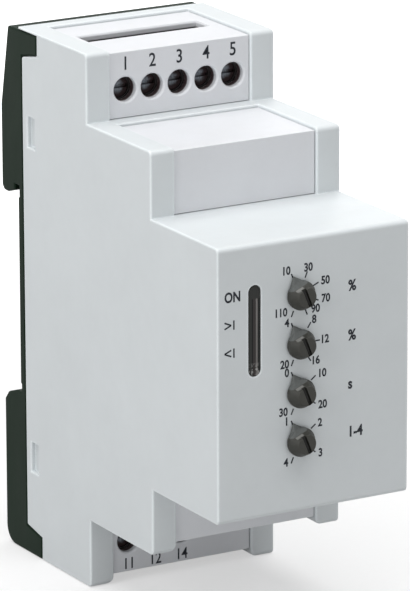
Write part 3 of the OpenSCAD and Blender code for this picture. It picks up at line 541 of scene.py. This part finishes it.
def metal(name, colour, tarnish, roughness, tint=None):
    """Drawn or plated metal with fine lines and dull patches."""
    finish = Finish(name, roughness, Metallic=1.0)
    lines = finish.use(brushed_lines, Pitch=0.06)
    tone = finish.blend(finish.times(lines["Tone"], 0.4), colour, tarnish)
    if tint:
        tone = tint(finish, tone)
    # Edges painted lighter: a painted highlight, partly rubbed wear
    edges = finish.use(edge_wear_and_highlight, Radius=0.3 * MM, Breaks=0.4)["Mask"]
    finish.colour(finish.blend(finish.times(edges, 0.5), tone, shade(colour, 1.2)))
    finish.shine(lines["Tone"], roughness - 0.05, roughness + 0.15)
    finish.relief(lines["Height"], 0.002)
    return finish.material


def window_finish():
    """Dark tinted clear plastic with upright streaks painted on it for the light guides behind it, the lightest a
    painted highlight, and painted glints near its lower end.
    """
    finish = Finish("tinted_window", 0.16, Specular_IOR_Level=0.12)
    place = finish.place()
    x, _, z = finish.axes(place)
    off = finish.minus(x, (window_low.x + window_high.x) / 2)
    below = finish.spread(z, *STREAK_TOP, smooth=True)
    wave = finish.noise(finish.stretched(place, (4.0, 1.0, 0.35)), scale=1.0, detail=3)
    tone = finish.blend(wave, (0.03, 0.032, 0.03, 1), (0.042, 0.043, 0.041, 1))
    for left, right, soft, colour in WINDOW_STREAKS:
        rise = finish.spread(off, left - soft, left + soft, smooth=True)
        fall = finish.spread(off, right - soft, right + soft, 1, 0, smooth=True)
        tone = finish.blend(finish.times(rise, fall, below), tone, colour)
    # Painted glints near the lower end of the window
    swirl = finish.noise(finish.stretched(place, (2.2, 1.0, 1.1)), scale=1.0, detail=4, roughness=0.7)
    glint = finish.times(finish.spread(swirl, 0.52, 0.58), finish.spread(z, *GLINT_TOP, 0, 0.85, smooth=True))
    finish.colour(finish.blend(glint, tone, (0.42, 0.42, 0.41, 1)))
    finish.shine(wave, 0.1, 0.22)
    return finish.material


def ink_finish():
    """Printed ink, a little uneven."""
    finish = Finish("printed_ink", 0.6, Specular_IOR_Level=0.2)
    uneven = finish.noise(finish.place(), scale=5.0, detail=3, roughness=0.6)
    finish.colour(finish.blend(uneven, (0.012, 0.015, 0.02, 1), (0.024, 0.028, 0.036, 1)))
    finish.shine(uneven, 0.45, 0.65)
    finish.relief(uneven, 0.004)
    return finish.material


def board_finish():
    """Green solder mask over paler copper tracks."""
    finish = Finish("solder_mask", 0.32, Coat_Weight=0.25, Coat_Roughness=0.2)
    place = finish.place()
    x, _, z = finish.axes(place)
    plane = finish.add("ShaderNodeCombineXYZ")
    finish.join(x, plane.inputs[0])
    finish.join(z, plane.inputs[1])
    bricks = finish.add("ShaderNodeTexBrick", {"offset": 0.5, "squash": 1.0}, Vector=plane.outputs[0],
                        Scale=0.35, Mortar_Size=0.06, Mortar_Smooth=0.1,
                        Color1=(0, 0, 0, 1), Color2=(0, 0, 0, 1), Mortar=WHITE)
    tracks = bricks.outputs["Color"]
    cloud = finish.noise(place, scale=0.5, detail=3)
    tone = finish.blend(cloud, (0.012, 0.075, 0.035, 1), (0.02, 0.1, 0.05, 1))
    finish.colour(finish.blend(finish.times(tracks, 0.6), tone, (0.04, 0.17, 0.08, 1)))
    finish.shine(cloud, 0.25, 0.4)
    finish.relief(tracks, 0.03)
    return finish.material


def lamp_finish(name, colour):
    """The hazy clear body of an indicator lamp."""
    finish = Finish(name, 0.12, IOR=1.5, Transmission_Weight=0.35)
    haze = finish.noise(finish.place(), scale=1.2)
    finish.colour(finish.blend(haze, shade(colour, 0.8), colour))
    finish.shine(haze, 0.08, 0.2)
    return finish.material


def winding_finish():
    """Turns of fine enamelled wire under clear yellow tape."""
    finish = Finish("taped_winding", 0.35, Coat_Weight=0.4, Coat_Roughness=0.15)
    place = finish.place()
    waves = finish.add("ShaderNodeTexWave", {"wave_type": "BANDS", "bands_direction": "Z"}, Vector=place,
                       Scale=1.6, Distortion=0.4, Detail=1.0)
    turns = waves.outputs[1]
    cloud = finish.noise(place, scale=0.4, detail=3)
    tone = finish.blend(turns, (0.5, 0.3, 0.04, 1), (0.72, 0.5, 0.07, 1))
    finish.colour(finish.blend(finish.times(cloud, 0.3), tone, (0.4, 0.22, 0.03, 1)))
    finish.shine(cloud, 0.28, 0.45)
    finish.relief(turns, 0.05)
    return finish.material


def banded_resistor():
    """A coated resistor with plain rings round its body."""
    finish = Finish("coated_resistor", 0.4)
    place = finish.place()
    along = finish.axes(place)[0]
    ring = finish.calculate("PINGPONG", finish.plus(along, FOLD_SHIFT), 1.5)
    band = finish.spread(ring, 0.35, 0.5, 1, 0)
    grain = finish.noise(place, scale=2.0, detail=3, roughness=0.6)
    tone = finish.blend(grain, (0.1, 0.16, 0.13, 1), (0.14, 0.2, 0.16, 1))
    finish.colour(finish.blend(finish.times(band, 0.8), tone, (0.32, 0.14, 0.05, 1)))
    finish.shine(grain, 0.35, 0.5)
    finish.relief(grain, 0.02)
    return finish.material


# Mouldings by material slot: the size and depth of the grain and the radius of the edges painted lighter
# (a painted highlight, partly wear) are in millimetres, the other values are shares
MOULDINGS = {
    "housing_grey": dict(colour=(0.65, 0.685, 0.7), roughness=0.45, grain=0.2, depth=0.005, wear=1.0,
                         edge=0.5, breaks=0.15, Specular_IOR_Level=0.35),
    "insert_grey": dict(colour=(0.7, 0.713, 0.74), roughness=0.42, grain=0.25, depth=0.004, wear=0.4,
                        edge=0.3, breaks=0.3, tint=slot_shade, Specular_IOR_Level=0.35),
    "base_dark": dict(colour=(0.0045, 0.0125, 0.0065), roughness=0.55, grain=0.3, depth=0.008,
                      uneven=0.15, wear=0.12, dust=0.006, Specular_IOR_Level=0.09),
    "knob_grey": dict(colour=(0.034, 0.034, 0.029), roughness=0.48, grain=0.15, depth=0.003, uneven=0.12,
                      wear=0.5, dust=0.01, edge=0.12, breaks=0.3, tint=knob_painted_light, Specular_IOR_Level=0.3),
    "block_black": dict(colour=(0.022, 0.018, 0.018), roughness=0.5, grain=0.25, depth=0.008,
                        uneven=0.15, wear=0.2, dust=0.02),
    "relay_blue": dict(colour=(0.02, 0.04, 0.09), roughness=0.3, grain=0.5, depth=0.004,
                       uneven=0.1, wear=0.3, dust=0.05),
    "adjuster_blue": dict(colour=(0.03, 0.09, 0.3), roughness=0.35, grain=0.3, depth=0.004,
                          uneven=0.1, wear=0.3, dust=0.03),
    "chip_black": dict(colour=(0.014, 0.014, 0.015), roughness=0.5, grain=0.12, depth=0.006,
                       uneven=0.2, wear=0.2, dust=0.03),
    "core_black": dict(colour=(0.03, 0.03, 0.032), roughness=0.6, grain=0.18, depth=0.02,
                       uneven=0.2, wear=0.5, dust=0.02),
    "can_dark": dict(colour=(0.02, 0.022, 0.04), roughness=0.28, grain=0.6, depth=0.003,
                     uneven=0.1, wear=0.4, dust=0.04, Metallic=0.2),
    "absorber_blue": dict(colour=(0.04, 0.1, 0.3), roughness=0.35, grain=0.5, depth=0.01,
                          uneven=0.15, wear=0.2, dust=0.02),
}


def make_finishes():
    """One finish for each material slot of the record, and those of the screws and the print."""
    finishes = {slot: moulded(slot, **looks) for slot, looks in MOULDINGS.items()}
    finishes.update({
        "window_dark": window_finish(),
        "steel": metal("plated_steel", (0.6, 0.6, 0.59, 1), (0.42, 0.38, 0.32, 1), 0.3),
        "contact_brass": metal("contact_brass", (0.65, 0.46, 0.2, 1), (0.36, 0.22, 0.09, 1), 0.3),
        "strip_copper": metal("strip_copper", (0.7, 0.34, 0.2, 1), (0.34, 0.14, 0.08, 1), 0.28),
        # The terminal screws: darker than steel, as painted shade inside their holes
        "dark_screw": metal("dark_screw", (0.045, 0.031, 0.032, 1), (0.03, 0.021, 0.021, 1), 0.55,
                            tint=screw_head_highlight),
        "board_green": board_finish(),
        "lamp_green": lamp_finish("lamp_green", (0.1, 0.5, 0.12, 1)),
        "lamp_red": lamp_finish("lamp_red", (0.6, 0.07, 0.02, 1)),
        "resistor_grey": banded_resistor(),
        "winding_yellow": winding_finish(),
        "ink": ink_finish(),
    })
    return finishes


def dress_nodes():
    """Gives each node of the frame its finish; the terminal screws are darker than their slot's steel, painted
    shade for the inside of their holes.
    """
    for row in frame["record"]["subparts"]:
        finish = "dark_screw" if row["node"].startswith("screw_") else row["material_slot"]
        for place in nodes[row["node"]].material_slots:
            place.material = finishes[finish]


def as_piece(name, mesh, material, body):
    """Makes a mesh a named piece that moves with a body."""
    piece = bpy.data.objects.new(name, mesh)
    bpy.context.scene.collection.objects.link(piece)
    mesh.materials.clear()
    mesh.materials.append(material)
    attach(piece, body)
    return piece


def merged_copy(node):
    """A copy of a node's mesh with its corners merged and its flat faces whole."""
    bm = bmesh.new()
    bm.from_mesh(nodes[node].data)
    bmesh.ops.remove_doubles(bm, verts=bm.verts, dist=1e-6)
    bmesh.ops.dissolve_limit(bm, angle_limit=math.radians(1), verts=bm.verts, edges=bm.edges)
    return bm


def finished_mesh(name, bm):
    """The mesh of a bmesh, without the shading that a copied node brings."""
    mesh = bpy.data.meshes.new(name)
    bm.to_mesh(mesh)
    bm.free()
    if "custom_normal" in mesh.attributes:
        mesh.attributes.remove(mesh.attributes["custom_normal"])
    return mesh


def shade_smooth(bm, smooth=True):
    for face in bm.faces:
        face.smooth = smooth


def shade_evenly(mesh):
    """Sets each corner's normal from the large faces round it, so that flat walls look flat."""
    around = [[] for _ in mesh.vertices]
    for face in mesh.polygons:
        for vertex in face.vertices:
            around[vertex].append(face)
    normals = [None] * len(mesh.loops)
    same_side = 0.64
    for face in mesh.polygons:
        for corner in face.loop_indices:
            touching = around[mesh.loops[corner].vertex_index]
            near = [other for other in touching if other.normal.dot(face.normal) > same_side]
            normals[corner] = sum((other.normal * other.area for other in near), Vector()).normalized()
    mesh.normals_split_custom_set(normals)


def settle(piece, scale=1):
    """Turns the modifiers of a piece into its mesh."""
    bpy.context.view_layer.update()
    view = bpy.context.evaluated_depsgraph_get()
    mesh = bpy.data.meshes.new_from_object(piece.evaluated_get(view), depsgraph=view)
    mesh.transform(Matrix.Scale(scale, 4))
    piece.modifiers.clear()
    piece.data = mesh
    mesh.name = piece.name
    return mesh


def room_beside(edge):
    """The least width of the two faces beside an edge, measured at its ends."""
    along = (edge.verts[1].co - edge.verts[0].co).normalized()
    room = 1.0
    nearly_parallel = 0.87
    for loop in edge.link_loops:
        for beside in (loop.link_loop_prev.edge, loop.link_loop_next.edge):
            reach = beside.verts[1].co - beside.verts[0].co
            if abs(reach.normalized().dot(along)) < nearly_parallel:
                room = min(room, (reach - along * reach.dot(along)).length)
    return room


def full_rounding(place):
    """Every outer edge gets the whole radius."""
    return 1.0


def housing_rounding(place):
    """The edges round the window are sharper, and those of the knob bores are left as cut."""
    x, y, z = place / MM
    if y < nose_y + FRONT_DEPTH:
        for knob in DIALS:
            axis = axis_of(knob)
            if math.hypot(x - axis.x, z - axis.z) < BORE_RIM:
                return 0.0
        if (window_low.x - WINDOW_RIM < x < window_high.x + WINDOW_RIM
                and window_low.z - WINDOW_RIM < z < window_high.z + WINDOW_RIM):
            return WINDOW_EDGE_SHARE
    return 1.0


def snug(bm, node):
    """Brings the outer walls of an insert close to the rims, as the real ones sit without a wide joint."""
    low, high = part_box(node)
    for vert in bm.verts:
        for axis in (0, 2):
            if abs(vert.co[axis] - low[axis]) < 1e-5:
                vert.co[axis] -= SNUG * MM
            elif abs(vert.co[axis] - high[axis]) < 1e-5:
                vert.co[axis] += SNUG * MM


def softened(node, radius, body, slot, rounding_at=full_rounding):
    """A copy of a moulded piece whose outer edges are rounded, as they leave the mould."""
    bm = merged_copy(node)
    if slot == "insert_grey":
        snug(bm, node)
    tree = BVHTree.FromBMesh(bm)
    weight = bm.edges.layers.float.new("bevel_weight_edge")
    width = radius * MM
    least_bend = math.radians(30)
    for edge in bm.edges:
        if len(edge.link_faces) != 2 or not edge.is_convex or edge.calc_face_angle(0) < least_bend:
            continue
        middle = (edge.verts[0].co + edge.verts[1].co) / 2
        outward = (edge.link_faces[0].normal + edge.link_faces[1].normal).normalized()
        is_on_the_outside = tree.ray_cast(middle + outward * 1e-5, outward)[0] is None
        if is_on_the_outside:
            edge[weight] = min(rounding_at(middle), ROOM_SHARE * room_beside(edge) / width)
    shade_smooth(bm)
    piece = as_piece(node + "_soft", finished_mesh(node + "_soft", bm), finishes[slot], body)
    rounding = piece.modifiers.new("rounded edges", "BEVEL")
    rounding.limit_method = "WEIGHT"
    rounding.width = width
    rounding.segments = 3
    rounding.profile = 0.5
    rounding.material = -1
    rounding.use_clamp_overlap = False
    shade_evenly(settle(piece))
    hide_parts(node)


def soften_knob(knob):
    """A copy of a knob with a fine even skin, smoothed so that its ramp, slot and rims are softly edged."""
    bm = merged_copy(knob)
    axis = Vector(joints[knob + "_turn"]["pos_m"])
    for vert in bm.verts:
        off = Vector((vert.co.x - axis.x, vert.co.z - axis.z))
        reach = off.length / MM
        if reach > TRIM_FROM:
            if reach < TRIM_TO:
                trimmed = reach * KNOB_TRIM
            else:
                trimmed = TRIM_TO * KNOB_TRIM + (reach - TRIM_TO) * POINTER_GROWTH
            off *= trimmed / reach
            vert.co.x, vert.co.z = axis.x + off.x, axis.z + off.y
    mesh = finished_mesh(knob + "_soft", bm)
    mesh.transform(Matrix.Scale(1 / MM, 4))
    piece = as_piece(knob + "_soft", mesh, finishes["knob_grey"], knob)
    skin = piece.modifiers.new("fine skin", "REMESH")
    skin.mode = "VOXEL"
    skin.voxel_size = KNOB_SKIN
    skin.use_smooth_shade = True
    smooth = piece.modifiers.new("soft edges", "SMOOTH")
    smooth.factor = 0.5
    smooth.iterations = 3
    settle(piece, MM)
    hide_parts(knob)


def make_window():
    """The window, with a channel in its front face and a rounded rib along the channel."""
    bm = merged_copy("indicator_window")
    front = min(bm.faces, key=lambda face: face.calc_center_median().y)
    bmesh.ops.translate(bm, vec=(0, -WINDOW_PROUD * MM, 0), verts=front.verts)
    bmesh.ops.inset_region(bm, faces=[front], thickness=WINDOW_FLAT * MM, depth=0)
    bmesh.ops.inset_region(bm, faces=[front], thickness=CHANNEL_STEP * MM, depth=-CHANNEL_DEPTH * MM)
    shade_smooth(bm, False)
    mesh = finished_mesh("window_guide", bm)
    piece = as_piece("window_guide", mesh, finishes["window_dark"], "enclosure")
    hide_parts("indicator_window")

    middle = (window_low + window_high) / 2
    place = (middle.x + RIB_RIGHT, window_low.y - RIB_FORWARD, middle.z - RIB_DOWN)
    rib = bmesh.new()
    bmesh.ops.create_cube(rib, size=1)
    bmesh.ops.scale(rib, vec=RIB_SIZE, verts=rib.verts)
    bmesh.ops.bevel(rib, geom=rib.edges[:], affect="EDGES", offset=RIB_ROUNDING, segments=3, profile=0.5,
                    material=-1)
    bmesh.ops.translate(rib, vec=place, verts=rib.verts)
    bmesh.ops.scale(rib, vec=(MM, MM, MM), verts=rib.verts)
    shade_smooth(rib)
    mesh = finished_mesh("window_rib", rib)
    as_piece("window_rib", mesh, finishes["window_dark"], "enclosure")


def make_latch_coil():
    """The coil spring of the rail latch, wound from round wire."""
    low, high = (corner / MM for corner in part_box("latch_spring"))
    middle = (low + high) / 2
    radius = (high.x - low.x - SPRING_WIRE) / 2
    rise = high.z - low.z - SPRING_WIRE
    steps = SPRING_TURNS * STEPS_A_TURN
    coil = bmesh.new()
    ring = bmesh.ops.create_circle(coil, segments=WIRE_SIDES, radius=SPRING_WIRE / 2)["verts"]
    bmesh.ops.rotate(coil, verts=ring, cent=(0, 0, 0), matrix=Matrix.Rotation(math.pi / 2, 3, "X"))
    bmesh.ops.translate(coil, verts=ring, vec=(radius, 0, 0))
    bmesh.ops.spin(coil, geom=coil.edges[:], cent=(0, 0, 0), axis=(0, 0, 1), dvec=(0, 0, rise / steps),
                   angle=SPRING_TURNS * 2 * math.pi, steps=steps, use_merge=False)
    ends = [edge for edge in coil.edges if edge.is_boundary]
    bmesh.ops.holes_fill(coil, edges=ends, sides=WIRE_SIDES)
    bmesh.ops.recalc_face_normals(coil, faces=coil.faces[:])
    bmesh.ops.translate(coil, verts=coil.verts[:], vec=(middle.x, middle.y, low.z + SPRING_WIRE / 2))
    bmesh.ops.scale(coil, vec=(MM, MM, MM), verts=coil.verts[:])
    shade_smooth(coil)
    piece = as_piece("latch_coil", finished_mesh("latch_coil", coil), finishes["steel"], "enclosure")
    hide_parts("latch_spring")
    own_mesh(piece)


def flat_text(text, **settings):
    """A flat mesh of words, for a letter size of 1."""
    curve = bpy.data.curves.new("words", "FONT")
    curve.body = text
    curve.size = 1
    for name, value in settings.items():
        setattr(curve, name, value)
    holder = bpy.data.objects.new("words", curve)
    bpy.context.scene.collection.objects.link(holder)
    mesh = bpy.data.meshes.new_from_object(holder)
    bpy.data.objects.remove(holder)
    bpy.data.curves.remove(curve)
    return mesh


def capital_height():
    """The height of a figure, for a letter size of 1."""
    mesh = flat_text("0")
    heights = [vert.co.y for vert in mesh.vertices]
    bpy.data.meshes.remove(mesh)
    return max(heights) - min(heights)


class Print:
    """Raised ink on one upright plane: laid out flat in (across, up), then stood up as a single mesh."""

    def __init__(self, name, face_y):
        self.name = name
        self.face_y = face_y
        self.bm = bmesh.new()

    def words(self, text, x, z, height, align="CENTER", condensed=CONDENSED, bold=BOLD):
        """Words whose capitals have the given height, with their middle at the given place."""
        mesh = flat_text(text, offset=bold, align_x=align, resolution_u=4)
        size = height / cap_height
        mesh.transform(Matrix.Translation((x, z - height / 2, 0))
                       @ Matrix.Diagonal((size * condensed, size, 1, 1)))
        self.bm.from_mesh(mesh)
        bpy.data.meshes.remove(mesh)

    def bar(self, x, z, length, width, angle):
        """A stroke from a place, at an angle to the right of upright."""
        turn = math.radians(angle)
        along = Vector((math.sin(turn), math.cos(turn)))
        side = Vector((along.y, -along.x)) * width / 2
        start = Vector((x, z))
        end = start + along * length
        corners = (start - side, start + side, end + side, end - side)
        self.bm.faces.new([self.bm.verts.new((*corner, 0)) for corner in corners])

    def finish(self):
        """Raises the flat print, sinks its back a little into the face and makes it a piece."""
        bm = self.bm
        bmesh.ops.remove_doubles(bm, verts=bm.verts, dist=1e-4)
        bmesh.ops.recalc_face_normals(bm, faces=bm.faces)
        for face in bm.faces:
            if face.normal.z < 0:
                face.normal_flip()
        base = bm.faces[:]
        raised = bmesh.ops.extrude_face_region(bm, geom=base, use_keep_orig=True)["geom"]
        top = [item for item in raised if isinstance(item, bmesh.types.BMVert)]
        bmesh.ops.translate(bm, vec=(0, 0, INK + INK_SUNK), verts=top)
        for face in base:
            face.normal_flip()
        bmesh.ops.translate(bm, vec=(0, 0, -INK_SUNK), verts=bm.verts)
        bmesh.ops.transform(bm, matrix=Matrix.Scale(MM, 4) @ Matrix.Translation((0, self.face_y, 0))
                            @ Matrix.Rotation(math.pi / 2, 4, "X"), verts=bm.verts)
        as_piece(self.name, finished_mesh(self.name, bm), finishes["ink"], "enclosure")


def print_front():
    """The marks and numbers of the dials, their units, and the signs beside the window."""
    front = Print("front_print", nose_y)
    for knob, numbers in DIALS.items():
        x, _, z = axis_of(knob)
        step = (LAST_MARK - FIRST_MARK) / (len(numbers) - 1)
        for i, (text, text_x, text_z) in enumerate(numbers):
            angle = FIRST_MARK + i * step
            turn = math.radians(angle)
            start_x, start_z = x + MARK_START * math.sin(turn), z + MARK_START * math.cos(turn)
            front.bar(start_x, start_z, MARK_LENGTH, MARK_WIDTH, angle)
            front.words(text, text_x, text_z, DIAL_TEXT)
    front.words("ON", ON_X, ON_Z, ON_TEXT, condensed=ON_CONDENSED)
    for z, way in SIGNS:
        tip = Vector((SIGN_X + way * SIGN_REACH, z))
        for slope in (1, -1):
            start = Vector((SIGN_X - way * SIGN_REACH, z + slope * SIGN_RISE))
            reach = tip - start
            angle = math.degrees(math.atan2(reach.x, reach.y))
            front.bar(start.x, start.y, reach.length, SIGN_WIDTH, angle)
        front.bar(SIGN_BAR_X, z - SIGN_BAR / 2, SIGN_BAR, SIGN_WIDTH, 0)
    for text, z in UNITS:
        front.words(text, UNIT_X, z, UNIT_TEXT, align="LEFT")
    front.finish()


def print_terminals():
    """A number by each screwdriver hole."""
    for tier, face_y, texts, z, height in TERMINAL_NUMBERS:
        numbers = Print(f"terminal_numbers_{tier}", face_y)
        for i, text in enumerate(texts):
            x = joints[f"screw_{tier}_{i + 1}_turn"]["pos_m"][0] / MM
            numbers.words(text, x, z, height, bold=LIGHT)
        numbers.finish()


def floor_finish():
    """Matt and pale, pure white further out, and clear from below."""
    finish = Finish("floor", 0.9, Specular_IOR_Level=0.0, Emission_Color=WHITE)
    place = finish.place()
    grain = finish.noise(place, scale=0.8, detail=3)
    finish.colour(finish.blend(grain, (0.46, 0.46, 0.46, 1), (0.48, 0.48, 0.48, 1)))
    finish.relief(grain, 0.01)
    x, y, _ = finish.axes(place)
    from_middle = finish.distance(x, finish.minus(y, FLOOR_MIDDLE_Y))
    whiteness = finish.spread(from_middle, *FLOOR_FADE, 0.5, 1.0, smooth=True)
    finish.join(finish.times(whiteness, finish.shown_directly()), finish.shader.inputs["Emission Strength"])
    underside = finish.add("ShaderNodeNewGeometry").outputs["Backfacing"]
    from_below = finish.times(underside, finish.shown_directly())
    finish.join(finish.minus(1.0, from_below), finish.shader.inputs["Alpha"])
    return finish.material


def lay_floor():
    """A wide floor just below the object, which keeps its shadow."""
    bm = bmesh.new()
    bmesh.ops.create_grid(bm, x_segments=8, y_segments=8, size=FLOOR_REACH)
    bmesh.ops.translate(bm, vec=(0, 0, (housing_low.z - FLOOR_GAP) * MM), verts=bm.verts)
    mesh = finished_mesh("floor", bm)
    mesh.materials.append(floor_finish())
    floor = bpy.data.objects.new("floor", mesh)
    bpy.context.scene.collection.objects.link(floor)


place_camera()
light_the_studio()
finishes = make_finishes()
cap_height = capital_height()
dress_nodes()
softened("housing", HOUSING_EDGE, "enclosure", "housing_grey", housing_rounding)
softened("rear_base", BASE_EDGE, "enclosure", "base_dark")
for cover in ("upper_terminal_cover", "lower_terminal_cover", "upper_blank_cover", "lower_blank_cover"):
    softened(cover, INSERT_EDGE, "enclosure", "insert_grey")
softened("rail_latch", LATCH_EDGE, "rail_latch", "base_dark")
for knob in DIALS:
    soften_knob(knob)
make_latch_coil()
make_window()
print_front()
print_terminals()
lay_floor()
